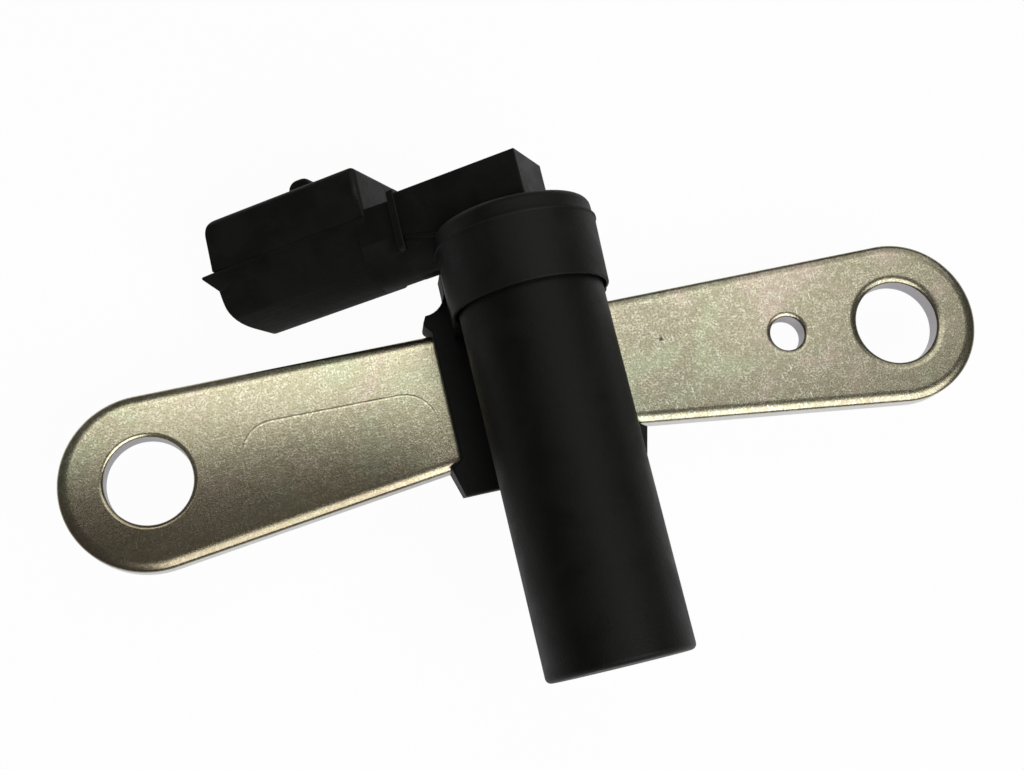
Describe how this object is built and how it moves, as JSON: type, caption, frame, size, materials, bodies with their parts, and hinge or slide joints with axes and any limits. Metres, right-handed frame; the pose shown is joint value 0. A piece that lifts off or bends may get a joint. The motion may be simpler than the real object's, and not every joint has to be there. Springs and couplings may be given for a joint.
{
  "type": "rotation sensor",
  "caption": "Inductive rotation sensor: black moulded body and barrel on a flat steel strip with bolt holes, with an angled connector shroud on an arm.",
  "frame": {"origin": "middle between the two bolt holes, on the steel strip's mating face", "axes": "+X along the strip towards the end with the small hole, +Y along the barrel from its sensing tip to its head, +Z away from the mating face towards the barrel"},
  "size_m": [0.122, 0.0707, 0.0357],
  "materials": {
    "black_plastic": "matt moulded",
    "plated_steel": "dull yellowish plating",
    "bobbin_plastic": "matt",
    "enamelled_copper": "enamelled copper wire",
    "winding_tape": "amber film",
    "soft_iron": "bare",
    "magnet": "sintered",
    "tinned_brass": "tinned",
    "potting_resin": "cast resin"
  },
  "bodies": {
    "root": {"mounting_strip": "plated_steel", "body_moulding": "black_plastic", "barrel_sleeve": "black_plastic", "coil_bobbin": "bobbin_plastic", "coil_winding": "enamelled_copper", "winding_tape": "winding_tape", "pole_pin": "soft_iron", "magnet": "magnet", "flux_plate": "soft_iron", "terminal_a": "tinned_brass", "terminal_b": "tinned_brass", "terminal_holder": "bobbin_plastic", "potting_plug": "potting_resin", "winding_lead_a": "enamelled_copper", "winding_lead_b": "enamelled_copper"}
  },
  "joints": []
}
